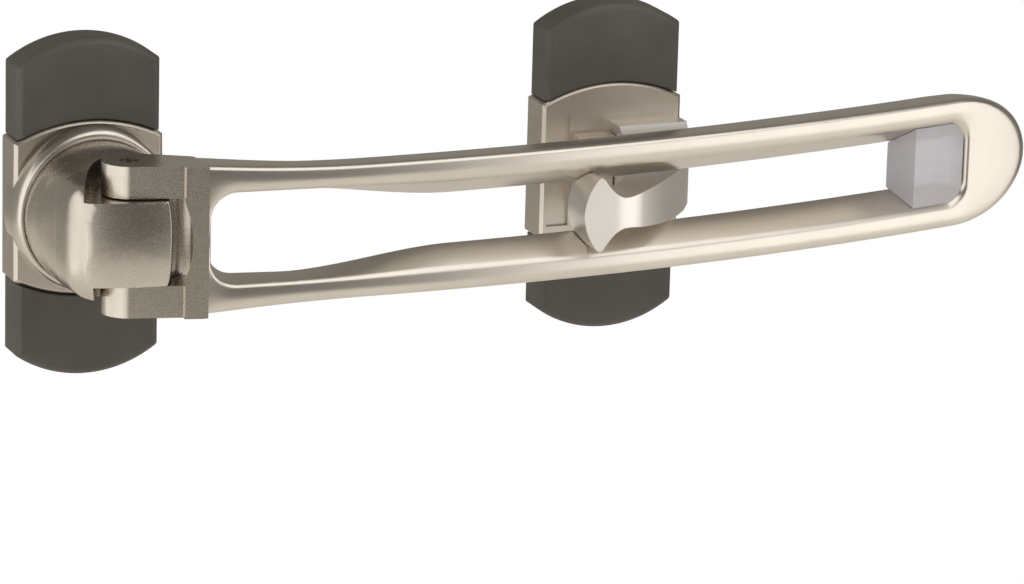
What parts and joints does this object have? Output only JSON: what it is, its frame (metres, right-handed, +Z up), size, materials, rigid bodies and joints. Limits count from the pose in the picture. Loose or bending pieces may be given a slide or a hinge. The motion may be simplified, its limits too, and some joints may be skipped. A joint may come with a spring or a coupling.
{
  "type": "door restrictor",
  "caption": "Door restrictor with a hinged, slotted arm on a wall plate and a keeper whose hook rides along the arm's slot to limit how far a door opens.",
  "frame": {"origin": "centre of the two fixing holes of the arm's plate, on its back face, which lies on the wall", "axes": "+X along the wall towards the arm's tip, +Y into the wall, +Z up"},
  "size_m": [0.242, 0.0475, 0.076],
  "materials": {
    "satin_nickel": "satin nickel on zinc casting",
    "dark_plastic": "matt moulded",
    "clear_plastic": "clear, slightly frosted",
    "zinc_steel": "bright zinc plated"
  },
  "bodies": {
    "base": {"base_plate": "satin_nickel", "base_upper_cap": "dark_plastic", "base_lower_cap": "dark_plastic"},
    "hub": {"swivel_hub": "satin_nickel", "hub_spring_washer": "zinc_steel", "hub_retaining_washer": "zinc_steel", "hub_screw": "zinc_steel"},
    "swing_arm": {"arm": "satin_nickel", "end_damper": "clear_plastic", "hinge_pin": "zinc_steel"},
    "keeper": {"keeper_plate": "satin_nickel", "keeper_hook": "satin_nickel", "hook_screw": "zinc_steel", "keeper_upper_cap": "dark_plastic", "keeper_lower_cap": "dark_plastic"}
  },
  "joints": [
    {"name": "hub_swivel", "type": "hinge", "parent": "base", "child": "hub", "pos_m": [0, 0, 0], "axis": [0, 1, 0], "range_deg": [-180, 180]},
    {"name": "arm_swing", "type": "hinge", "parent": "hub", "child": "swing_arm", "pos_m": [0.0008, -0.0333, 0], "axis": [0, 0, 1], "range_deg": [-100, 0]},
    {"name": "keeper_travel", "type": "hinge", "parent": "swing_arm", "child": "keeper", "pos_m": [0.072, 0.4956, 0], "axis": [0, 0, 1], "range_deg": [-7, 6]}
  ]
}
